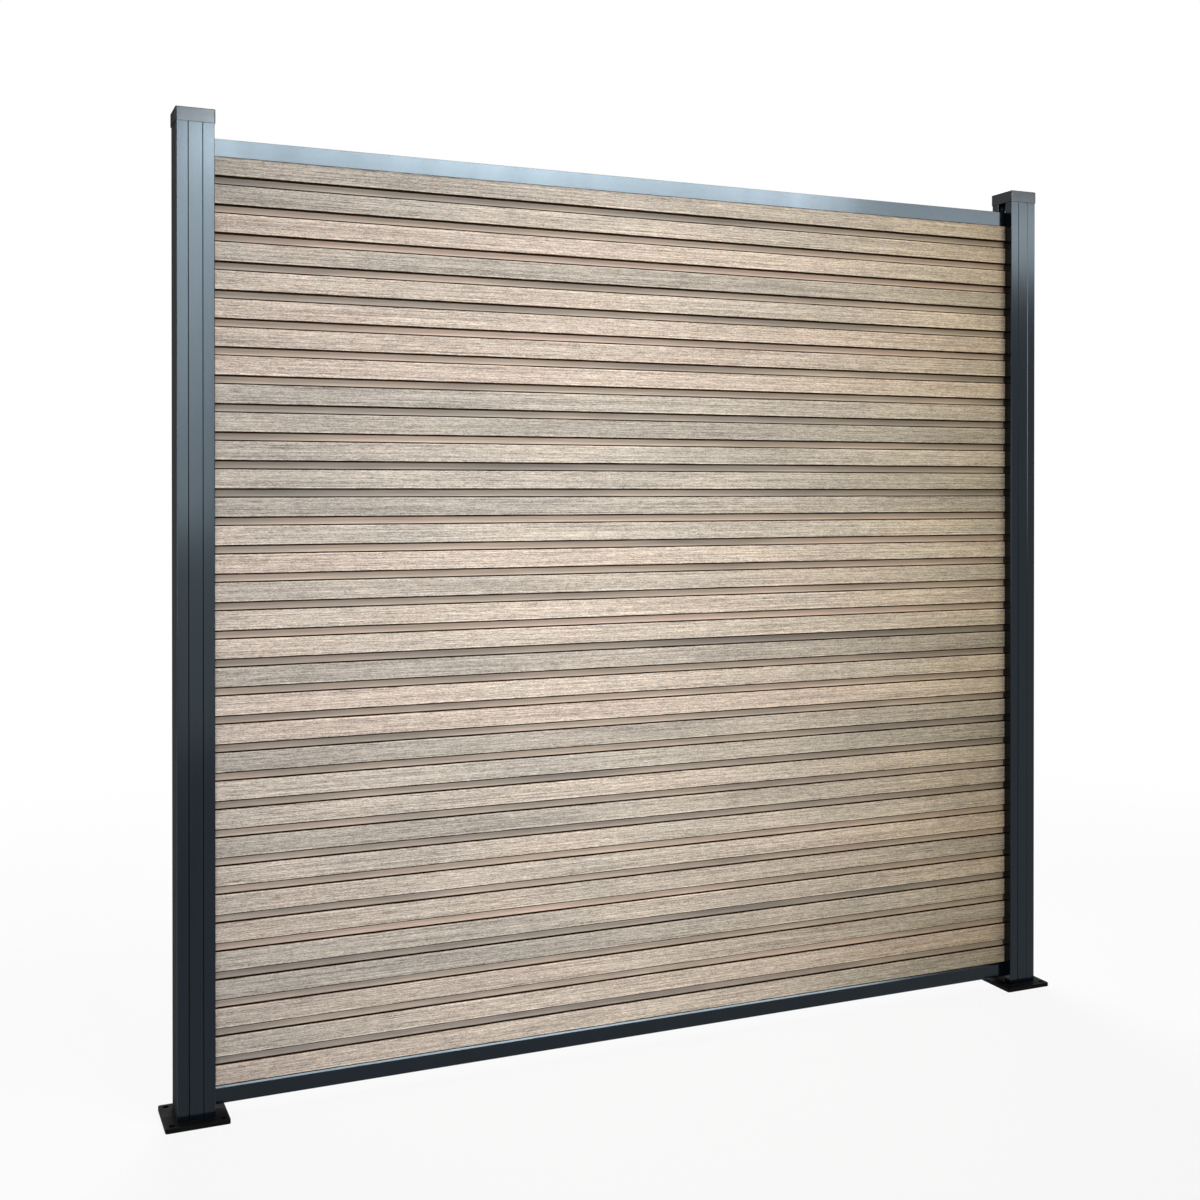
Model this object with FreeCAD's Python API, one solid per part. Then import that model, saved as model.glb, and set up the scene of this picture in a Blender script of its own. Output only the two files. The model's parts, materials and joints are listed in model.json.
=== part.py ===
import FreeCAD, Part
import os

# Garden privacy screen: two slotted aluminium posts on base plates, with slatted tongue-and-groove
# boards stacked between them from a bottom rail up to a top rail. All sizes are in millimetres.
# X runs along the panel, Y from the front (-) to the back (+), Z up.
# The origin is on the ground, midway between the posts, in the panel's middle plane.

# Boards: hollow, with the same ribs on both faces, tongue up.
board_count = 11
board_length = 1750.0
ribs_per_board = 3
rib_height = 38.0
groove_height = 12.0
groove_depth = 5.0
board_core_thickness = 10.0       # between the floors of two opposite grooves
rib_edge_chamfer = 1.2
board_shell = 4.5                 # wall round the chambers
chamber_corner_radius = 2.5
tongue_height = 10.0
tongue_shoulder = 2.0             # core left on each side of the tongue
tongue_side_clearance = 0.3
tongue_tip_clearance = 1.0

# Rails.
rail_wall = 1.5
rail_board_clearance = 0.3        # between a rail's lip and the board inside it
rail_edge_chamfer = 0.6
bottom_rail_height = 27.4         # upright part of its faces
bottom_rail_shoulder = 3.4        # rise and run of the sloping shoulders above them
top_rail_overlap = 3.4            # how far its lips reach down over the highest rib
top_rail_chamber = 2.5            # clear height between its web and its roof

# Posts: four corner tubes round a square core, with a slot in the middle of each side.
post_side = 65.0
post_wall = 1.8
post_neck = 2.0                   # overlap that joins each corner tube to the core
post_edge_radius = 1.2
post_above_top_rail = 43.2
rail_slot_clearance = 0.7
slot_mouth_chamfer = 0.6
clip_groove_inset = 3.0           # from the post's face to the groove that a cover clips into
clip_groove_height = 2.4
clip_groove_depth = 0.8

# Slot covers.
cover_thickness = 1.6
cover_gap = 0.3
cover_leg_thickness = 1.4
cover_hook_clearance = 0.2        # between a hook and its groove
cover_edge_chamfer = 0.5
cover_end_gap = 1.0

# Caps.
cap_wall = 1.3
cap_clearance = 0.2
cap_top_thickness = 2.5
cap_height = 24.0
cap_edge_radius = 1.2
cap_peg_length = 10.0
cap_peg_wall = 2.0
cap_peg_clearance = 0.3

# Base plates and the spigots that stand on them.
plate_margin = 22.5               # from the post's face to the plate's edge
plate_thickness = 8.0
plate_corner_radius = 4.0
plate_edge_chamfer = 0.8
plate_hole_diameter = 11.0
plate_hole_inset = 12.0           # from the hole's centre to the plate's edges
spigot_wall = 3.0
spigot_clearance = 0.2
spigot_corner_radius = 1.0
first_screw_height = 60.0         # above the plate
second_screw_height = 150.0
spigot_above_screws = 50.0

# Hexagon-head screws that hold a post on its spigot.
spigot_screw_diameter = 5.5
spigot_screw_length = 12.0
spigot_screw_hex = 8.0            # across the flats
spigot_screw_head_height = 4.0
spigot_screw_flange_diameter = 10.5
spigot_screw_flange_thickness = 1.0
screw_hole_clearance = 0.2

# Packing blocks under the bottom rail.
block_height = 12.5
block_slot_clearance = 0.5
block_corner_radius = 0.5

# Angle clips on the top rail, each with one pan-head screw.
clip_thickness = 2.0
clip_end_clearance = 0.5          # between an upright leg and the ends of the boards and rails
clip_height = 18.0
clip_side_clearance = 3.0
clip_setback = 5.0                # from the post's face to the end of the foot
clip_screw_height = 10.0
clip_screw_diameter = 4.2
clip_screw_length = 14.0
clip_screw_head_diameter = 9.0
clip_screw_head_height = 3.0

# Sections.
rib_pitch = rib_height + groove_height
board_cover = ribs_per_board * rib_pitch
board_half = board_core_thickness / 2 + groove_depth
core_half = board_core_thickness / 2
tongue_half = core_half - tongue_shoulder
rail_half = board_half + rail_board_clearance + rail_wall
slot_half = rail_half + rail_slot_clearance
post_half = post_side / 2
post_core_half = slot_half + post_neck
slot_depth = post_half - post_core_half
post_bore_half = post_core_half - post_wall
corner_cell_inner = slot_half + post_wall
corner_cell_outer = post_half - post_wall
groove_mouth = post_half - clip_groove_inset
groove_floor = groove_mouth - clip_groove_height
plate_half = post_half + plate_margin

# Places along X.
board_insertion = slot_depth - clip_thickness - clip_end_clearance
clear_width = board_length - 2 * board_insertion
post_offset = clear_width / 2 + post_half

# Heights.
bottom_rail_base = plate_thickness + block_height
boards_base = bottom_rail_base + bottom_rail_height + bottom_rail_shoulder
boards_top = boards_base + board_count * board_cover
highest_rib_top = boards_top - groove_height
tongue_tip = boards_top + tongue_height
top_rail_web_top = tongue_tip + rail_wall
top_rail_roof = top_rail_web_top + top_rail_chamber
top_rail_top = top_rail_roof + rail_wall
top_rail_lip = highest_rib_top - top_rail_overlap
post_top = top_rail_top + post_above_top_rail

UP = FreeCAD.Vector(0, 0, 1)
ORIGIN = FreeCAD.Vector(0, 0, 0)
SIDES = {"left": -1, "right": 1}
FACINGS = {"right": 0, "back": 1, "left": 2, "front": 3}      # quarter turns from +X


def block(x0, x1, y0, y1, z0, z1):
    """Box between two corners."""
    return Part.makeBox(x1 - x0, y1 - y0, z1 - z0, FreeCAD.Vector(x0, y0, z0))


def square_bar(half, z0, z1):
    """Upright square bar about the Z axis."""
    return block(-half, half, -half, half, z0, z1)


def upright_prism(outline, z0, z1):
    """Prism on an outline of (x, y) points, from z0 up to z1."""
    corners = [FreeCAD.Vector(x, y, z0) for x, y in outline]
    face = Part.Face(Part.makePolygon(corners + corners[:1]))
    return face.extrude(FreeCAD.Vector(0, 0, z1 - z0))


def long_prism(outline):
    """Prism as long as a board, on an outline of (y, z) points, centred on X."""
    corners = [FreeCAD.Vector(-board_length / 2, y, z) for y, z in outline]
    face = Part.Face(Part.makePolygon(corners + corners[:1]))
    return face.extrude(FreeCAD.Vector(board_length, 0, 0))


def mirrored(front):
    """Closed outline from its points on the -Y side, listed from the bottom up."""
    back = [(-y, z) for y, z in reversed(front)]
    return front + back


def round_edges(solid, direction, radius):
    """Fillet the straight edges that run along a direction."""
    picked = []
    for edge in solid.Edges:
        ends = edge.Vertexes
        run = ends[-1].Point.sub(ends[0].Point)
        if run.Length > 0 and abs(run.normalize().dot(direction)) > 0.999:
            picked.append(edge)
    return solid.makeFillet(radius, picked)


def turned(solid, facing):
    """Copy of a solid that is made facing +X, turned about the Z axis to face another way."""
    copy = solid.copy()
    copy.rotate(ORIGIN, UP, 90 * FACINGS[facing])
    return copy


def rod_along_x(diameter, x0, x1, z):
    """Round rod in the XZ plane."""
    start = FreeCAD.Vector(x0, 0, z)
    return Part.makeCylinder(diameter / 2, x1 - x0, start, FreeCAD.Vector(1, 0, 0))


def inward(side):
    """The way that a post's side towards the panel faces."""
    return "right" if side == "left" else "left"


def at_post(solid, side):
    """Copy of a solid made about the Z axis, moved to the left or the right post."""
    copy = solid.copy()
    copy.translate(FreeCAD.Vector(SIDES[side] * post_offset, 0, 0))
    return copy


def rib_profile(base):
    """Front outline of one rib and of the groove above it, from the bottom up."""
    top = base + rib_height
    cut = rib_edge_chamfer
    return [
        (-board_half + cut, base),
        (-board_half, base + cut),
        (-board_half, top - cut),
        (-board_half + cut, top),
        (-core_half, top),
        (-core_half, base + rib_pitch),
    ]


def make_board():
    """Lowest board: ribs on both faces, tongue on top, groove below, a chamber in each rib."""
    recess_half = tongue_half + tongue_side_clearance
    recess_top = boards_base + tongue_height + tongue_tip_clearance
    front = [(-recess_half, recess_top), (-recess_half, boards_base)]
    for number in range(ribs_per_board):
        front += rib_profile(boards_base + number * rib_pitch)
    shoulder = boards_base + board_cover
    front += [(-tongue_half, shoulder), (-tongue_half, shoulder + tongue_height)]
    board = long_prism(mirrored(front))
    chamber_half = board_half - board_shell
    for number in range(ribs_per_board):
        rib_base = boards_base + number * rib_pitch
        floor = recess_top if number == 0 else rib_base
        chamber = block(-board_length / 2, board_length / 2, -chamber_half, chamber_half,
                        floor + board_shell, rib_base + rib_height - board_shell)
        board = board.cut(round_edges(chamber, FreeCAD.Vector(1, 0, 0), chamber_corner_radius))
    return board


def make_bottom_rail():
    """Hollow rail with sloping shoulders and a ridge that the lowest board sits on."""
    wall_top = bottom_rail_base + bottom_rail_height
    cut = rail_edge_chamfer
    body = long_prism(mirrored([
        (-rail_half + cut, bottom_rail_base),
        (-rail_half, bottom_rail_base + cut),
        (-rail_half, wall_top),
        (-rail_half + bottom_rail_shoulder, boards_base),
        (-tongue_half, boards_base),
        (-tongue_half, boards_base + tongue_height),
    ]))
    slope_offset = rail_wall * 2 ** 0.5
    ceiling = boards_base - rail_wall
    hollow = long_prism(mirrored([
        (-rail_half + rail_wall, bottom_rail_base + rail_wall),
        (-rail_half + rail_wall, wall_top + rail_wall - slope_offset),
        (-rail_half + slope_offset + ceiling - wall_top, ceiling),
    ]))
    return body.cut(hollow)


def make_top_rail():
    """Rail with a channel over the highest board's tongue, and a shallow chamber in its roof."""
    cut = rail_edge_chamfer
    channel_half = rail_half - rail_wall
    section = long_prism(mirrored([
        (-channel_half, tongue_tip),
        (-channel_half, top_rail_lip),
        (-rail_half + cut, top_rail_lip),
        (-rail_half, top_rail_lip + cut),
        (-rail_half, top_rail_top - cut),
        (-rail_half + cut, top_rail_top),
    ]))
    chamber = block(-board_length / 2, board_length / 2, -channel_half, channel_half,
                    top_rail_web_top, top_rail_roof)
    return section.cut(chamber)


def slot_cutter():
    """Room of one slot, opening towards +X, with a chamfered mouth and two clip grooves."""
    beyond = slot_mouth_chamfer
    deep = slot_half + clip_groove_depth
    upper = [
        (post_core_half, slot_half),
        (groove_floor, slot_half),
        (groove_floor, deep),
        (groove_mouth, deep),
        (groove_mouth, slot_half),
        (post_half - slot_mouth_chamfer, slot_half),
        (post_half + beyond, slot_half + slot_mouth_chamfer + beyond),
    ]
    lower = [(x, -y) for x, y in reversed(upper)]
    return upright_prism(upper + lower, plate_thickness, post_top)


def make_post(side):
    """Slotted extrusion with its screw holes."""
    post = round_edges(square_bar(post_half, plate_thickness, post_top), UP, post_edge_radius)
    slot = slot_cutter()
    cell = block(corner_cell_inner, corner_cell_outer, corner_cell_inner, corner_cell_outer,
                 plate_thickness, post_top)
    rooms = [square_bar(post_bore_half, plate_thickness, post_top)]
    for facing in FACINGS:
        rooms += [turned(slot, facing), turned(cell, facing)]
    for height in spigot_screw_heights():
        hole = rod_along_x(spigot_screw_diameter + screw_hole_clearance,
                           post_bore_half - post_wall, post_core_half + post_wall, height)
        rooms += [turned(hole, "front"), turned(hole, "back")]
    clip_hole = rod_along_x(clip_screw_diameter + screw_hole_clearance,
                            post_bore_half - post_wall, post_core_half + post_wall,
                            top_rail_top + clip_screw_height)
    rooms.append(turned(clip_hole, inward(side)))
    return at_post(post.cut(rooms), side)


def make_slot_cover(side, facing):
    """Flush strip with two hooked legs that clip into the grooves of a slot."""
    edge = slot_half - cover_gap
    back = post_half - cover_thickness
    leg_end = groove_floor + cover_hook_clearance
    hook_top = groove_mouth - cover_hook_clearance
    hook = slot_half + clip_groove_depth - cover_hook_clearance
    upper = [
        (back, edge - cover_leg_thickness),
        (leg_end, edge - cover_leg_thickness),
        (leg_end, hook),
        (hook_top, edge),
        (post_half - cover_edge_chamfer, edge),
        (post_half, edge - cover_edge_chamfer),
    ]
    lower = [(x, -y) for x, y in reversed(upper)]
    strip = upright_prism(upper + lower, plate_thickness, post_top - cover_end_gap)
    return at_post(turned(strip, facing), side)


def make_cap(side):
    """Cap with a skirt round the post and a hollow peg in each corner tube."""
    outer_half = post_half + cap_clearance + cap_wall
    cap_top = post_top + cap_top_thickness
    skirt_end = cap_top - cap_height
    cap = round_edges(square_bar(outer_half, skirt_end, cap_top), UP, cap_edge_radius + cap_wall)
    rim = [edge for edge in cap.Edges if edge.BoundBox.ZMin > cap_top - cap_wall / 2]
    cap = cap.makeFillet(cap_edge_radius, rim)
    cap = cap.cut(square_bar(post_half + cap_clearance, skirt_end, post_top))
    near = corner_cell_inner + cap_peg_clearance
    far = corner_cell_outer - cap_peg_clearance
    peg = block(near, far, near, far, post_top - cap_peg_length, post_top)
    peg_bore = block(near + cap_peg_wall, far - cap_peg_wall, near + cap_peg_wall,
                     far - cap_peg_wall, post_top - cap_peg_length, post_top)
    peg = peg.cut(peg_bore)
    cap = cap.fuse([turned(peg, facing) for facing in FACINGS]).removeSplitter()
    return at_post(cap, side)


def make_base_plate(side):
    """Square plate with rounded corners and four holes for ground anchors."""
    plate = round_edges(square_bar(plate_half, 0, plate_thickness), UP, plate_corner_radius)
    top_edges = [edge for edge in plate.Edges if edge.BoundBox.ZMin > plate_thickness / 2]
    plate = plate.makeChamfer(plate_edge_chamfer, top_edges)
    reach = plate_half - plate_hole_inset
    hole = Part.makeCylinder(plate_hole_diameter / 2, plate_thickness,
                             FreeCAD.Vector(reach, reach, 0))
    return at_post(plate.cut([turned(hole, facing) for facing in FACINGS]), side)


def spigot_screw_heights():
    return [plate_thickness + first_screw_height, plate_thickness + second_screw_height]


def make_base_spigot(side):
    """Square tube on the plate, inside the post's core."""
    half = post_bore_half - spigot_clearance
    top = spigot_screw_heights()[-1] + spigot_above_screws
    tube = round_edges(square_bar(half, plate_thickness, top), UP, spigot_corner_radius)
    rooms = [square_bar(half - spigot_wall, plate_thickness, top)]
    for height in spigot_screw_heights():
        hole = rod_along_x(spigot_screw_diameter + screw_hole_clearance,
                           half - 2 * spigot_wall, half + spigot_wall, height)
        rooms += [turned(hole, "front"), turned(hole, "back")]
    return at_post(tube.cut(rooms), side)


def make_spigot_screw(height):
    """Hexagon-head screw with a flange, driven into the core from +X."""
    seat = post_core_half
    shank = rod_along_x(spigot_screw_diameter, seat - spigot_screw_length, seat, height)
    flange = rod_along_x(spigot_screw_flange_diameter, seat,
                         seat + spigot_screw_flange_thickness, height)
    corner = spigot_screw_hex / 3 ** 0.5
    outline = []
    for number in range(6):
        spoke = FreeCAD.Rotation(FreeCAD.Vector(1, 0, 0), 60 * number)
        outline.append(spoke.multVec(FreeCAD.Vector(seat, 0, corner)) + UP * height)
    head = Part.Face(Part.makePolygon(outline + outline[:1]))
    head = head.extrude(FreeCAD.Vector(spigot_screw_head_height, 0, 0))
    return shank.fuse([flange, head]).removeSplitter()


def make_spigot_screws():
    screws = []
    for side in SIDES:
        for height in spigot_screw_heights():
            for facing in ("front", "back"):
                screws.append(at_post(turned(make_spigot_screw(height), facing), side))
    return Part.makeCompound(screws)


def make_support_block(side):
    """Packing block in the slot, between the base plate and the bottom rail."""
    packer = block(post_core_half + block_slot_clearance, post_half - block_slot_clearance,
                   -slot_half + block_slot_clearance, slot_half - block_slot_clearance,
                   plate_thickness, bottom_rail_base)
    packer = round_edges(packer, UP, block_corner_radius)
    return at_post(turned(packer, inward(side)), side)


def make_rail_clip(side):
    """Angle whose upright leg is screwed to the slot's floor and whose foot holds the rail down."""
    half = slot_half - clip_side_clearance
    leg = block(post_core_half, post_core_half + clip_thickness, -half, half,
                top_rail_top, top_rail_top + clip_height)
    foot = block(post_core_half, post_half - clip_setback, -half, half,
                 top_rail_top, top_rail_top + clip_thickness)
    hole = rod_along_x(clip_screw_diameter + screw_hole_clearance, post_core_half - clip_thickness,
                       post_core_half + 2 * clip_thickness, top_rail_top + clip_screw_height)
    clip = leg.fuse(foot).removeSplitter().cut(hole)
    return at_post(turned(clip, inward(side)), side)


def make_clip_screw(side):
    """Pan-head screw through the clip and the slot's floor."""
    seat = post_core_half + clip_thickness
    height = top_rail_top + clip_screw_height
    shank = rod_along_x(clip_screw_diameter, seat - clip_screw_length, seat, height)
    head = rod_along_x(clip_screw_head_diameter, seat, seat + clip_screw_head_height, height)
    outer_face = seat + clip_screw_head_height / 2
    rim = [edge for edge in head.Edges if edge.BoundBox.XMin > outer_face]
    head = head.makeFillet(clip_screw_head_height / 2, rim)
    return at_post(turned(shank.fuse(head).removeSplitter(), inward(side)), side)


def make_boards():
    """The boards by node name, numbered from the lowest up."""
    lowest = make_board()
    boards = {}
    for number in range(board_count):
        copy = lowest.copy()
        copy.translate(UP * (number * board_cover))
        boards["board_%02d" % (number + 1)] = copy
    return boards


def make_nodes():
    """Every piece of the screen by node name."""
    nodes = {
        "bottom_rail": make_bottom_rail(),
        "top_rail": make_top_rail(),
        "spigot_screws": make_spigot_screws(),
        "top_rail_clip_screws": Part.makeCompound([make_clip_screw(side) for side in SIDES]),
    }
    nodes.update(make_boards())
    for side in SIDES:
        nodes[side + "_post"] = make_post(side)
        nodes[side + "_post_cap"] = make_cap(side)
        nodes[side + "_base_plate"] = make_base_plate(side)
        nodes[side + "_base_spigot"] = make_base_spigot(side)
        nodes[side + "_front_slot_cover"] = make_slot_cover(side, "front")
        nodes[side + "_rear_slot_cover"] = make_slot_cover(side, "back")
        nodes[side + "_outer_slot_cover"] = make_slot_cover(side, side)
        nodes[side + "_rail_support_block"] = make_support_block(side)
        nodes[side + "_top_rail_clip"] = make_rail_clip(side)
    return nodes


def main():
    os.makedirs("parts", exist_ok=True)
    for name, shape in make_nodes().items():
        if not shape.isValid():
            raise ValueError(name + " is not a valid shape")
        shape.exportStep("parts/" + name + ".step")
        print(name, len(shape.Solids), "solids, volume", round(shape.Volume))


main()
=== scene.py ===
import json
import math

import bmesh
import bpy
from mathutils import Matrix, Vector


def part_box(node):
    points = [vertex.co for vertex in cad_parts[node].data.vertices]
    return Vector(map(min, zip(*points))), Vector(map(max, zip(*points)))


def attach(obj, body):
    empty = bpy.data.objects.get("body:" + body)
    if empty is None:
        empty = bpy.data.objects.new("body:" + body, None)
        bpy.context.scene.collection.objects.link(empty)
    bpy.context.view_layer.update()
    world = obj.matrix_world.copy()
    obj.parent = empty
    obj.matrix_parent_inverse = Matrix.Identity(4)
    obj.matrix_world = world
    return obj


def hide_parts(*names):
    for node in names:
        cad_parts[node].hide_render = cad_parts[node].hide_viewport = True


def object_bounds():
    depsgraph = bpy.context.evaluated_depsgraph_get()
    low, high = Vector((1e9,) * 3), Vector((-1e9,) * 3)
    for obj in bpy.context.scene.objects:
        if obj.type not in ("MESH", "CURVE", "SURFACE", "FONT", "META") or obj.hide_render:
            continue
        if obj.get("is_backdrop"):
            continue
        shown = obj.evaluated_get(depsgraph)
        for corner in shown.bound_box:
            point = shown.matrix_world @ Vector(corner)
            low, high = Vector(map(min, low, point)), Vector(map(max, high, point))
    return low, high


# Finishes and small fittings of the garden privacy screen. Lengths are in metres, heights are world Z,
# and colours are written as 0-255 display values.

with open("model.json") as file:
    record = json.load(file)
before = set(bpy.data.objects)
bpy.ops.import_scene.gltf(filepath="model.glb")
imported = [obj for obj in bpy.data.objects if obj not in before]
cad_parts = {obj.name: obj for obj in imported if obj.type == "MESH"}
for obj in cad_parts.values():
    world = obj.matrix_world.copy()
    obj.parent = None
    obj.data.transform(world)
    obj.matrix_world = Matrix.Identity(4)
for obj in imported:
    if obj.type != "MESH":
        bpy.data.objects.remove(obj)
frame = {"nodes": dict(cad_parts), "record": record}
nodes = frame["nodes"]
cadLow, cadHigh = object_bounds()
print("frame loaded:", len(nodes), "nodes")


def shade(red, green, blue):
    tones = []
    for value in (red, green, blue):
        share = value / 255
        tones.append(share / 12.92 if share < 0.04045 else ((share + 0.055) / 1.055) ** 2.4)
    return (*tones, 1.0)


# Small helpers for node trees. A value is a number, a colour or another node's output.

def feed(tree, socket, value):
    if isinstance(value, bpy.types.NodeSocket):
        tree.links.new(value, socket)
    else:
        socket.default_value = value


def newMaterial(name):
    material = bpy.data.materials.new(name)
    material.use_nodes = True
    tree = material.node_tree
    tree.nodes.clear()
    output = tree.nodes.new("ShaderNodeOutputMaterial")
    shader = tree.nodes.new("ShaderNodeBsdfPrincipled")
    tree.links.new(shader.outputs["BSDF"], output.inputs["Surface"])
    return material, tree, shader


def maths(tree, operation, first, second=0.0, third=0.0):
    node = tree.nodes.new("ShaderNodeMath")
    node.operation = operation
    for socket, value in zip(node.inputs, (first, second, third)):
        feed(tree, socket, value)
    return node.outputs[0]


def remap(tree, value, low, high, newLow, newHigh, smooth=False):
    node = tree.nodes.new("ShaderNodeMapRange")
    node.interpolation_type = "SMOOTHSTEP" if smooth else "LINEAR"
    feed(tree, node.inputs["Value"], value)
    for name, number in (("From Min", low), ("From Max", high), ("To Min", newLow), ("To Max", newHigh)):
        node.inputs[name].default_value = number
    return node.outputs["Result"]


def blendColors(tree, factor, first, second, mode="MIX"):
    node = tree.nodes.new("ShaderNodeMix")
    node.data_type = "RGBA"
    node.blend_type = mode
    feed(tree, node.inputs[0], factor)
    feed(tree, node.inputs[6], first)
    feed(tree, node.inputs[7], second)
    return node.outputs[2]


def scaleColor(tree, color, share):
    node = tree.nodes.new("ShaderNodeVectorMath")
    node.operation = "SCALE"
    feed(tree, node.inputs[0], color)
    feed(tree, node.inputs["Scale"], share)
    return node.outputs[0]


def ramp(tree, value, stops):
    node = tree.nodes.new("ShaderNodeValToRGB")
    elements = node.color_ramp.elements
    while len(elements) < len(stops):
        elements.new(0.5)
    for element, (place, color) in zip(elements, stops):
        element.position = place
        element.color = color
    feed(tree, node.inputs["Fac"], value)
    return node.outputs["Color"]


def objectPlace(tree):
    coords = tree.nodes.new("ShaderNodeTexCoord")
    split = tree.nodes.new("ShaderNodeSeparateXYZ")
    tree.links.new(coords.outputs["Object"], split.inputs[0])
    return split.outputs


def joinPlace(tree, x, y, z):
    node = tree.nodes.new("ShaderNodeCombineXYZ")
    for socket, value in zip(node.inputs, (x, y, z)):
        feed(tree, socket, value)
    return node.outputs[0]


noiseRange = (0.3, 0.7)             # where nearly all of a noise's values lie


def noise(tree, grainSize, detail=2.0, roughness=0.5, vector=None):
    # grainSize is the size of one grain along X, Y and Z
    mapping = tree.nodes.new("ShaderNodeMapping")
    mapping.inputs["Scale"].default_value = [1 / size for size in grainSize]
    if vector is None:
        vector = tree.nodes.new("ShaderNodeTexCoord").outputs["Object"]
    tree.links.new(vector, mapping.inputs["Vector"])
    node = tree.nodes.new("ShaderNodeTexNoise")
    node.inputs["Scale"].default_value = 1.0
    node.inputs["Detail"].default_value = detail
    node.inputs["Roughness"].default_value = roughness
    tree.links.new(mapping.outputs[0], node.inputs["Vector"])
    return node.outputs["Fac"]


def bump(tree, shader, height, depth, strength=1.0):
    node = tree.nodes.new("ShaderNodeBump")
    node.inputs["Strength"].default_value = strength
    node.inputs["Distance"].default_value = depth
    tree.links.new(height, node.inputs["Height"])
    tree.links.new(node.outputs["Normal"], shader.inputs["Normal"])


# Wood-plastic boards: brushed rib faces, smoother groove floors and dark unbrushed edges, with painted light
# and shade along the panel, in the grooves and beside the edges.
boardFinish = {
    "ribTones": [
        (0.30, shade(170, 161, 147)),   # weathered grey
        (0.44, shade(184, 173, 157)),
        (0.56, shade(196, 181, 163)),   # warm beige
        (0.70, shade(193, 176, 159)),   # faintly pink
    ],
    "floorTones": [
        (0.30, shade(143, 134, 122)),
        (0.44, shade(160, 147, 131)),
        (0.56, shade(176, 159, 140)),
        (0.70, shade(184, 162, 144)),
    ],
    "ribDrift": 3.2,                # length over which the tone of a whole rib changes
    "ribShare": 0.75,
    "smudgeLength": 0.45,           # darker and lighter stretches along a rib
    "smudgeShare": 0.5,
    "cloudSize": (0.14, 0.05, 0.012),       # faint clouds on a rib's face
    "cloudShare": 0.15,
    "topRibShare": 0.94,            # the top rib of each board is a little darker
    "edgeShade": (0.056, 0.029, 0.013, 1),  # unbrushed edges and walls, as a share of the groove's tone
    "upperEdge": 0.0024,            # unbrushed strip along the top of a rib's face
    "lowerEdgeAndShadow": (0.0014, 0.0036),  # and along its lower edge, from the lowest rib to the highest; the widening with height is painted shadow under the ribs
    "edgeWaver": 0.0003,            # how far the brushed part's edge wanders
    "edgeHighlightWidth": 0.0035,            # painted highlight: a lighter strip beside it
    "edgeHighlightShare": 1.22,
    "floorPaintedLight": 1.30,             # painted light: a lighter strip along the lower edge of a groove's floor
    # painted shadow of the rib above, on the upper part of a groove's floor
    "floorPaintedShadow": 0.84,
    "lowFloorPaintedLight": 1.42,           # painted light: the floors of the lowest grooves are made paler
    "lowFloors": (0.05, 0.75),      # heights between which that fades out
    "streakSize": (0.12, 0.02, 0.0018),
    "floorStreaks": (0.84, 1.16),   # darkest and lightest streak and smudge of a groove's floor
    "floorSmudges": (0.88, 1.12),
    "edgeStreaks": (0.7, 1.3),
    "ribHeight": 0.038,
    "paintedLightAlong": [                  # painted light and shade along the panel: brightest near the middle, cooler at the left, darker and warmer at the right
        (0.05, (0.885, 0.905, 0.98, 1)),
        (0.30, (0.975, 0.998, 1.07, 1)),
        (0.50, (1.03, 1.045, 1.095, 1)),
        (0.70, (0.93, 0.925, 0.925, 1)),
        (0.83, (0.86, 0.84, 0.78, 1)),
        (0.93, (0.70, 0.67, 0.58, 1)),
    ],
    "slotShade": 0.12,              # what is left of the light inside the posts' slots
    "brushStrokes": [               # size of the marks and their share of the pattern
        ((0.22, 0.02, 0.0013), 0.27),
        ((0.040, 0.01, 0.0011), 0.23),
        ((0.010, 0.004, 0.0009), 0.20),
        ((0.0035, 0.003, 0.0008), 0.30),
    ],
    "brushTones": [
        (0.38, (0.40, 0.375, 0.35, 1)),
        (0.50, (1.00, 1.00, 1.00, 1)),
        (0.62, (1.72, 1.72, 1.69, 1)),
    ],
    "grainDepth": 0.0003,
    "faceGloss": 0.2,
    "edgeGloss": 0.03,
}


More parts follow.
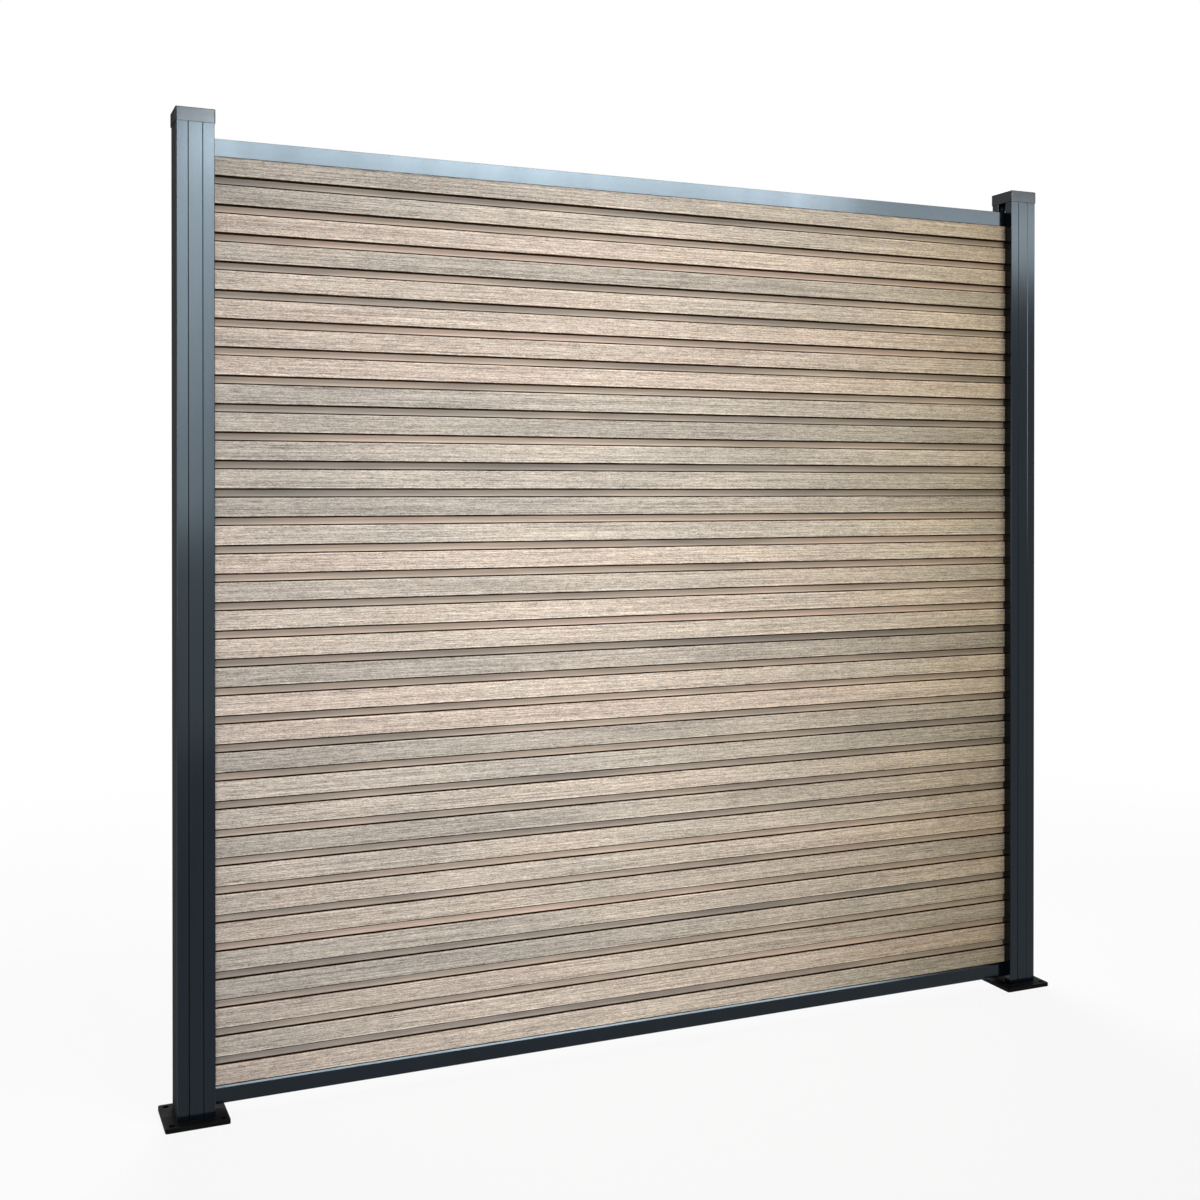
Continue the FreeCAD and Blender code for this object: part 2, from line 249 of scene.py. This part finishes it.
def boardMaterial(settings):
    material, tree, shader = newMaterial("brushedComposite")
    low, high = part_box("board_01")
    nextLow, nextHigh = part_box("board_02")
    ribPitch = (nextLow.z - low.z) / 3
    ribHeight = settings["ribHeight"]
    faceHalf = high.y
    floorHalf = faceHalf / 2
    x, y, z = objectPlace(tree)
    side = maths(tree, "SIGN", y)
    depth = maths(tree, "ABSOLUTE", y)
    isFloor = remap(tree, depth, floorHalf + 0.0001, floorHalf + 0.0003, 1, 0)

    # where a point is on its rib, from the rib's lower edge up
    ribsUp = maths(tree, "DIVIDE", maths(tree, "SUBTRACT", z, low.z), ribPitch)
    ribNumber = maths(tree, "FLOOR", ribsUp)
    rise = maths(tree, "MULTIPLY", maths(tree, "FRACT", ribsUp), ribPitch)
    # the lower dark strip widens with height: unbrushed edge plus painted shadow under each rib
    lowerEdgeAndShadow = remap(tree, z, cadLow.z, cadHigh.z, *settings["lowerEdgeAndShadow"])
    fromLower = maths(tree, "SUBTRACT", rise, lowerEdgeAndShadow)
    fromUpper = maths(tree, "SUBTRACT", ribHeight - settings["upperEdge"], rise)
    waver = remap(tree, noise(tree, (0.06, 0.01, 0.004), 2.0), *noiseRange,
                  -settings["edgeWaver"], settings["edgeWaver"])
    fromEdge = maths(tree, "ADD", maths(tree, "MINIMUM", fromLower, fromUpper), waver)
    brushed = remap(tree, fromEdge, -0.0002, 0.0001, 0, 1)
    isFace = maths(tree, "MULTIPLY", brushed, remap(tree, depth, faceHalf - 0.0004, faceHalf - 0.0002, 0, 1))
    # painted highlight: a lighter strip on the brushed face beside each dark edge
    edgeHighlight = remap(tree, fromEdge, 0, settings["edgeHighlightWidth"], settings["edgeHighlightShare"], 1, True)

    # each rib and each groove floor has a tone of its own that drifts along the board
    lane = maths(tree, "ADD", maths(tree, "MULTIPLY", ribNumber, 3.71), maths(tree, "MULTIPLY", isFloor, 1.9))
    laneSide = maths(tree, "MULTIPLY", side, 5.3)
    ribTone = noise(tree, (settings["ribDrift"], 1, 1), 0.0, 0.5, joinPlace(tree, x, laneSide, lane))
    smudge = noise(tree, (settings["smudgeLength"], 1, 1), 2.0, 0.5, joinPlace(tree, x, lane, laneSide))
    cloud = noise(tree, settings["cloudSize"], 2.0, 0.5)
    tone = 0.5
    for layer, share in ((ribTone, "ribShare"), (smudge, "smudgeShare"), (cloud, "cloudShare")):
        fromMiddle = maths(tree, "SUBTRACT", layer, 0.5)
        tone = maths(tree, "ADD", tone, maths(tree, "MULTIPLY", fromMiddle, settings[share]))
    smooth = ramp(tree, tone, settings["floorTones"])
    face = ramp(tree, tone, settings["ribTones"])
    topRib = maths(tree, "GREATER_THAN", maths(tree, "FLOORED_MODULO", ribNumber, 3.0), 1.5)
    face = scaleColor(tree, face, remap(tree, topRib, 0, 1, 1, settings["topRibShare"]))

    relief = 0.0
    for size, share in settings["brushStrokes"]:
        relief = maths(tree, "MULTIPLY_ADD", noise(tree, size, 1.0, 0.5), share, relief)
    face = blendColors(tree, 1.0, face, ramp(tree, relief, settings["brushTones"]), "MULTIPLY")
    face = scaleColor(tree, face, edgeHighlight)

    streak = noise(tree, settings["streakSize"], 2.0, 0.6)
    # painted light along the lower part of each groove's floor, painted shadow under the rib above it, and
    # more painted light on the lowest floors
    paintedFloorLight = remap(tree, rise, ribHeight, ribHeight + 0.005, settings["floorPaintedLight"], 1, True)
    paintedFloorShading = remap(tree, rise, ribPitch - 0.008, ribPitch - 0.004, 1, settings["floorPaintedShadow"], True)
    paintedLowLight = remap(tree, z, *settings["lowFloors"], settings["lowFloorPaintedLight"], 1)
    paintedFloorShading = maths(tree, "MULTIPLY", paintedFloorShading, paintedLowLight)
    floorColor = scaleColor(tree, smooth, maths(tree, "MULTIPLY", paintedFloorLight, paintedFloorShading))
    floorColor = scaleColor(tree, floorColor, remap(tree, streak, *noiseRange, *settings["floorStreaks"]))
    floorColor = scaleColor(tree, floorColor, remap(tree, smudge, *noiseRange, *settings["floorSmudges"]))
    edge = blendColors(tree, 1.0, smooth, settings["edgeShade"], "MULTIPLY")
    edge = scaleColor(tree, edge, remap(tree, streak, *noiseRange, *settings["edgeStreaks"]))
    whole = blendColors(tree, isFloor, blendColors(tree, isFace, edge, face), floorColor)
    # painted light and shade along the panel, brightest near the middle and darker and warmer at the right
    # end
    paintedLightAndShade = ramp(tree, remap(tree, x, cadLow.x, cadHigh.x, 0, 1), settings["paintedLightAlong"])
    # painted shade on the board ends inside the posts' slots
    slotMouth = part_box("right_post")[0].x
    paintedSlotShade = remap(tree, maths(tree, "ABSOLUTE", x), slotMouth, slotMouth + 0.002, 1, settings["slotShade"])
    paintedLightAndShade = scaleColor(tree, paintedLightAndShade, paintedSlotShade)
    feed(tree, shader.inputs["Base Color"], blendColors(tree, 1.0, whole, paintedLightAndShade, "MULTIPLY"))

    smoothing = maths(tree, "MULTIPLY", isFloor, -0.08)
    feed(tree, shader.inputs["Roughness"],
         maths(tree, "ADD", remap(tree, relief, 0.35, 0.65, 0.95, 0.75), smoothing))
    isOpen = maths(tree, "MAXIMUM", isFace, isFloor)
    gloss = remap(tree, isOpen, 0, 1, settings["edgeGloss"], settings["faceGloss"])
    feed(tree, shader.inputs["Specular IOR Level"], gloss)
    height = maths(tree, "MULTIPLY", relief, remap(tree, isFace, 0, 1, 0.25, 1))
    bump(tree, shader, height, settings["grainDepth"], 0.7)
    return material


grazing = (0.75, 0.92)              # between these a coat seen edge-on loses its gloss

# Satin powder coat of the posts, rails and slot covers: almost black, with a cool sheen.
coatFinish = {
    "color": shade(4, 8, 14),
    "paleColor": shade(10, 14, 21),
    "sheen": (0.69, 0.87, 1.0, 1),
    "specular": 0.30,
    "roughness": (0.135, 0.155),
    "edgeDulling": 0.85,
    "edgeSheen": 0.17,
    "peelSize": 0.0016,
    "peelDepth": 0.00004,
    "cloudSize": (0.05, 0.05, 0.3),
}


def coatMaterial(name, settings):
    material, tree, shader = newMaterial(name)
    cloud = noise(tree, settings["cloudSize"], 3.0, 0.6)
    speck = noise(tree, (0.0009, 0.0009, 0.0009), 1.0)
    mottle = maths(tree, "ADD", cloud, maths(tree, "MULTIPLY", speck, 0.3))
    feed(tree, shader.inputs["Base Color"], blendColors(
        tree, remap(tree, mottle, 0.5, 0.85, 0, 1), settings["color"], settings["paleColor"]))
    facing = tree.nodes.new("ShaderNodeLayerWeight")
    facing.inputs["Blend"].default_value = 0.5
    turnedAway = facing.outputs["Facing"]
    dulled = remap(tree, turnedAway, *grazing, 0, settings["edgeDulling"], True)
    satin = remap(tree, cloud, *noiseRange, *settings["roughness"])
    feed(tree, shader.inputs["Roughness"], maths(tree, "ADD", dulled, satin))
    shader.inputs["Specular IOR Level"].default_value = settings["specular"]
    weaker = remap(tree, turnedAway, *grazing, 1, settings["edgeSheen"], True)
    if "coverEdge" in settings:
        # painted shade: the reflection on the narrow edges of a slot cover, in the gap beside it, is turned
        # down
        x, y, z = objectPlace(tree)
        fromPost = maths(tree, "SUBTRACT", maths(tree, "ABSOLUTE", x), settings["postX"])
        across = maths(tree, "MINIMUM", maths(tree, "ABSOLUTE", fromPost), maths(tree, "ABSOLUTE", y))
        start = settings["coverEdge"]
        dark = remap(tree, across, start, start + 0.0003, 1, settings["gapPaintedShade"])
        weaker = maths(tree, "MULTIPLY", weaker, dark)
    feed(tree, shader.inputs["Specular Tint"], scaleColor(tree, settings["sheen"][:3], weaker))
    size = settings["peelSize"]
    peel = noise(tree, (size, size, size), 1.5)
    bump(tree, shader, peel, settings["peelDepth"], 0.35)
    return material


coverFinish = {
    **coatFinish,
    "coverEdge": 0.0113,            # half the width of a cover's face, up to its rounded edge
    "postX": 0.892,                 # the posts' middle lines
    "gapPaintedShade": 0.12,
}

capFinish = {
    "color": shade(10, 12, 13),
    "paleColor": shade(18, 20, 22),
    "sheen": (0.80, 0.92, 1.0, 1),
    "specular": 0.30,
    "roughness": (0.15, 0.19),
    "edgeDulling": 0.85,
    "edgeSheen": 0.17,
    "peelSize": 0.0012,
    "peelDepth": 0.00002,
    "cloudSize": (0.03, 0.03, 0.02),
}

plateFinish = {
    "color": shade(5, 5, 5),
    "paleColor": shade(12, 12, 12),
    "sheen": (1.0, 1.0, 1.0, 1),
    "specular": 0.05,
    "roughness": (0.5, 0.68),
    "edgeDulling": 0.1,
    "edgeSheen": 0.6,
    "peelSize": 0.0024,
    "peelDepth": 0.00012,
    "cloudSize": (0.02, 0.02, 0.02),
}

packerFinish = {
    "color": shade(24, 24, 24),
    "paleColor": shade(34, 34, 34),
    "sheen": (1.0, 1.0, 1.0, 1),
    "specular": 0.3,
    "roughness": (0.5, 0.6),
    "edgeDulling": 0.1,
    "edgeSheen": 0.6,
    "peelSize": 0.0007,
    "peelDepth": 0.00005,
    "cloudSize": (0.01, 0.01, 0.01),
}

# Bare zinc of the spigots and clips, with its frosted crystals, and the brighter zinc of the screws.
zincFinish = {
    "color": shade(150, 152, 155),
    "paleColor": shade(196, 198, 200),
    "crystalSize": 0.006,
    "roughness": (0.38, 0.58),
}

screwFinish = {
    "color": shade(176, 178, 180),
    "paleColor": shade(214, 214, 212),
    "crystalSize": 0.0012,
    "roughness": (0.25, 0.4),
}


def zincMaterial(name, settings):
    material, tree, shader = newMaterial(name)
    coords = tree.nodes.new("ShaderNodeTexCoord")
    crystal = tree.nodes.new("ShaderNodeTexVoronoi")
    crystal.inputs["Scale"].default_value = 1 / settings["crystalSize"]
    tree.links.new(coords.outputs["Object"], crystal.inputs["Vector"])
    tone = tree.nodes.new("ShaderNodeSeparateColor")
    tree.links.new(crystal.outputs["Color"], tone.inputs[0])
    feed(tree, shader.inputs["Base Color"], blendColors(tree, tone.outputs[0], settings["color"],
                                                        settings["paleColor"]))
    feed(tree, shader.inputs["Roughness"], remap(tree, tone.outputs[1], 0, 1, *settings["roughness"]))
    shader.inputs["Metallic"].default_value = 1.0
    bump(tree, shader, noise(tree, (0.0006, 0.0006, 0.0006)), 0.00003, 0.4)
    return material


finishes = {
    "wood_composite": boardMaterial(boardFinish),
    "powder_coat": coatMaterial("anthraciteCoat", coatFinish),
    "cap_plastic": coatMaterial("capPlastic", capFinish),
    "black_steel": coatMaterial("blackPlateCoat", plateFinish),
    "packer_plastic": coatMaterial("packerPlastic", packerFinish),
    "zinc_steel": zincMaterial("zincCoat", zincFinish),
    "screw_steel": zincMaterial("brightZinc", screwFinish),
}

coverMaterial = coatMaterial("coverCoat", coverFinish)

for part in frame["record"]["subparts"]:
    mesh = nodes[part["node"]].data
    mesh.materials.clear()
    isCover = part["node"].endswith("slot_cover")
    mesh.materials.append(coverMaterial if isCover else finishes[part["material_slot"]])
print("finishes on the frame:", len(finishes))


# Pan-head screws of the top rail's clips, with a cross recess. One head shows in each post's open slot.
clipScrew = {
    "length": 0.017,
    "headHeight": 0.003,
    "crownHeight": 0.0018,          # rounded part of the head
    "flatShare": 0.7,               # flat top as a share of the head's radius
    "crownSteps": 4,
    "segments": 40,
    "recessWidth": 0.0011,
    "recessReach": 0.0026,
    "recessDepth": 0.0013,
    "shankRadius": 0.0021,
}


def buildClipScrew(built, shape, place, radius, towards):
    # made with the top of its head at the origin and its shank along -Z, then laid along X
    start = len(built.verts)
    reach = radius * shape["flatShare"]
    bmesh.ops.create_circle(built, cap_ends=True, segments=shape["segments"], radius=reach)
    built.verts.ensure_lookup_table()
    for axis in (Vector((1, 0, 0)), Vector((0, 1, 0))):
        for offset in (shape["recessWidth"] / 2, shape["recessReach"]):
            for sign in (-1, 1):
                built.verts.ensure_lookup_table()
                verts = built.verts[start:]
                edges = {edge for vert in verts for edge in vert.link_edges}
                faces = {face for vert in verts for face in vert.link_faces}
                bmesh.ops.bisect_plane(built, geom=[*verts, *edges, *faces], plane_co=axis * offset * sign,
                                       plane_no=axis)
    built.verts.ensure_lookup_table()
    faces = {face for vert in built.verts[start:] for face in vert.link_faces}
    cross = []
    for face in faces:
        middle = face.calc_center_median()
        near, far = sorted((abs(middle.x), abs(middle.y)))
        if near < shape["recessWidth"] / 2 and far < shape["recessReach"]:
            cross.append(face)
    rim = [edge for edge in built.edges if edge.is_boundary and edge.verts[0].index >= start]
    sunk = bmesh.ops.extrude_face_region(built, geom=cross)
    bottom = [item for item in sunk["geom"] if isinstance(item, bmesh.types.BMVert)]
    bmesh.ops.delete(built, geom=cross, context="FACES_ONLY")
    bmesh.ops.translate(built, verts=bottom, vec=(0, 0, -shape["recessDepth"]))

    outline = []
    for step in range(1, shape["crownSteps"] + 1):
        turn = math.pi / 2 * step / shape["crownSteps"]
        drop = shape["crownHeight"] * (math.cos(turn) - 1)
        outline.append((reach + (radius - reach) * math.sin(turn), drop))
    outline.append((radius, -shape["headHeight"]))
    outline.append((shape["shankRadius"], -shape["headHeight"]))
    outline.append((shape["shankRadius"], -shape["length"]))
    height = 0.0
    for newReach, newHeight in outline:
        grown = bmesh.ops.extrude_edge_only(built, edges=rim)
        verts = [item for item in grown["geom"] if isinstance(item, bmesh.types.BMVert)]
        rim = [item for item in grown["geom"] if isinstance(item, bmesh.types.BMEdge)]
        bmesh.ops.scale(built, verts=verts, vec=(newReach / reach, newReach / reach, 1))
        bmesh.ops.translate(built, verts=verts, vec=(0, 0, newHeight - height))
        reach, height = newReach, newHeight
    bmesh.ops.contextual_create(built, geom=rim)

    built.verts.ensure_lookup_table()
    verts = built.verts[start:]
    bmesh.ops.rotate(built, verts=verts, matrix=Matrix.Rotation(math.radians(90) * towards, 3, "Y"))
    bmesh.ops.translate(built, verts=verts, vec=place)


low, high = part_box("top_rail_clip_screws")
middle = (low + high) / 2
built = bmesh.new()
for end, towards in ((low.x, 1), (high.x, -1)):
    place = Vector((end + clipScrew["length"] * towards, middle.y, middle.z))
    buildClipScrew(built, clipScrew, place, (high.z - low.z) / 2, towards)
bmesh.ops.remove_doubles(built, verts=built.verts[:], dist=0.00001)
bmesh.ops.recalc_face_normals(built, faces=built.faces[:])
mesh = bpy.data.meshes.new("clipScrews")
built.to_mesh(mesh)
built.free()
mesh.materials.append(finishes["screw_steel"])
clipScrews = bpy.data.objects.new("clipScrews", mesh)
bpy.context.scene.collection.objects.link(clipScrews)
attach(clipScrews, "root")
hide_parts("top_rail_clip_screws")
print("clip screws:", len(mesh.polygons), "faces")


# Floor, light and camera.
stage = {
    "floorSize": 14.0,
    "floorColor": shade(236, 236, 236),
    "nearWhite": 0.88,              # how far the floor near the screen is already the white of the background
    "fadeFrom": 1.2,
    "fadeTo": 3.6,
}


def buildFloor(settings):
    built = bmesh.new()
    bmesh.ops.create_grid(built, x_segments=1, y_segments=1, size=settings["floorSize"] / 2)
    mesh = bpy.data.meshes.new("studioFloor")
    built.to_mesh(mesh)
    built.free()
    floor = bpy.data.objects.new("studioFloor", mesh)
    bpy.context.scene.collection.objects.link(floor)

    material, tree, shader = newMaterial("paleFloor")
    shader.inputs["Base Color"].default_value = settings["floorColor"]
    shader.inputs["Roughness"].default_value = 0.9
    shader.inputs["Specular IOR Level"].default_value = 0.1
    coords = tree.nodes.new("ShaderNodeTexCoord")
    distance = tree.nodes.new("ShaderNodeVectorMath")
    distance.operation = "LENGTH"
    tree.links.new(coords.outputs["Object"], distance.inputs[0])
    fade = remap(tree, distance.outputs["Value"], settings["fadeFrom"], settings["fadeTo"],
                 settings["nearWhite"], 1, True)
    white = tree.nodes.new("ShaderNodeEmission")
    mixed = tree.nodes.new("ShaderNodeMixShader")
    output = next(node for node in tree.nodes if node.type == "OUTPUT_MATERIAL")
    tree.links.new(maths(tree, "MULTIPLY", fade, seenDirectly(tree)), mixed.inputs[0])
    tree.links.new(shader.outputs[0], mixed.inputs[1])
    tree.links.new(white.outputs[0], mixed.inputs[2])
    tree.links.new(mixed.outputs[0], output.inputs["Surface"])
    mesh.materials.append(material)
    floor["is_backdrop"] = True
    return floor


def seenDirectly(tree):
    # 1 for rays from the camera, reflected rays and rays through glass
    path = tree.nodes.new("ShaderNodeLightPath")
    seen = maths(tree, "MAXIMUM", path.outputs["Is Camera Ray"], path.outputs["Is Glossy Ray"])
    return maths(tree, "MAXIMUM", seen, path.outputs["Is Transmission Ray"])


studio = {
    "fillStrength": 0.08,
    "fillColor": (1.0, 1.0, 1.0, 1),
}


def buildWorld(settings):
    world = bpy.data.worlds.new("studioWorld")
    world.use_nodes = True
    tree = world.node_tree
    tree.nodes.clear()
    output = tree.nodes.new("ShaderNodeOutputWorld")
    fill = tree.nodes.new("ShaderNodeBackground")
    fill.inputs["Color"].default_value = settings["fillColor"]
    fill.inputs["Strength"].default_value = settings["fillStrength"]
    white = tree.nodes.new("ShaderNodeBackground")
    white.inputs["Color"].default_value = (1, 1, 1, 1)
    white.inputs["Strength"].default_value = 1.0
    mixed = tree.nodes.new("ShaderNodeMixShader")
    tree.links.new(seenDirectly(tree), mixed.inputs[0])
    tree.links.new(fill.outputs[0], mixed.inputs[1])
    tree.links.new(white.outputs[0], mixed.inputs[2])
    tree.links.new(mixed.outputs[0], output.inputs["Surface"])
    bpy.context.scene.world = world


lamps = {
    "tallSoftbox": {"at": (-0.35, -4.0, 1.83), "aim": (-0.91, 0, 0.86), "size": (0.36, 1.84), "spread": 38,
                    "power": 1.85},
    "lowSoftbox": {"at": (-0.35, -4.0, 0.6), "aim": (-0.8, 0, 0.7), "size": (0.36, 1.2), "spread": 54,
                   "power": 0.2},
    "frontSoftbox": {"at": (1.25, -4.0, 2.68), "aim": (-0.15, 0, 1.72), "size": (3.1, 0.28), "spread": 48,
                     "power": 9.0},
    "rightSoftbox": {"at": (3.45, -4.0, 2.56), "aim": (0.4, 0, 1.35), "size": (2.0, 0.42), "spread": 36,
                     "power": 1.3},
    "boardSoftbox": {"at": (-1.7, -4.0, 1.0), "aim": (0.05, 0, 0.68), "size": (1.0, 1.0), "spread": 48,
                     "power": 7.8},
    "edgeSoftbox": {"at": (-2.97, -3.2, 1.8), "aim": (1.05, 0, 1.3), "size": (0.35, 1.9), "spread": 20,
                    "power": 0.6},
    "highSoftbox": {"at": (1.35, -1.66, 4.2), "aim": (-0.2, 0, 0.05), "size": (3.6, 0.25), "spread": 60,
                    "power": 11.5},
    "rearSoftbox": {"at": (0.6, 3.2, 3.8), "aim": (0, 0, 0.9), "size": (2.4, 1.2), "spread": 180,
                    "power": 170},
}


def buildLamp(name, settings):
    # the first side of a lamp lies along X as far as its aim allows
    light = bpy.data.lights.new(name, "AREA")
    light.shape = "RECTANGLE"
    light.size, light.size_y = settings["size"]
    light.energy = settings["power"]
    light.spread = math.radians(settings["spread"])
    lamp = bpy.data.objects.new(name, light)
    lamp.location = settings["at"]
    back = (lamp.location - Vector(settings["aim"])).normalized()
    across = Vector((1, 0, 0))
    across = (across - back * across.dot(back)).normalized()
    lamp.rotation_euler = Matrix((across, back.cross(across), back)).transposed().to_euler()
    lamp.visible_camera = False
    bpy.context.scene.collection.objects.link(lamp)


buildFloor(stage)
buildWorld(studio)
for name, settings in lamps.items():
    buildLamp(name, settings)
print("floor and lights:", len(lamps), "lamps")

cameraSetup = {
    "at": (-1.2591, -2.6405, 1.0981),
    "turn": 23.426,                 # degrees towards +X from looking along +Y
    "tilt": -0.266,                 # degrees above the horizon
    "lens": 43.97,
    "sensor": 36.0,
    "shiftY": -0.0848,
}


def buildCamera(settings):
    data = bpy.data.cameras.new("photoCamera")
    data.lens = settings["lens"]
    data.sensor_width = settings["sensor"]
    data.shift_y = settings["shiftY"]
    camera = bpy.data.objects.new("photoCamera", data)
    camera.location = settings["at"]
    camera.rotation_euler = (math.radians(90 + settings["tilt"]), 0, math.radians(-settings["turn"]))
    bpy.context.scene.collection.objects.link(camera)
    bpy.context.scene.camera = camera


buildCamera(cameraSetup)
bpy.context.scene.view_settings.view_transform = "Standard"
print("camera in place")

low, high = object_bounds()
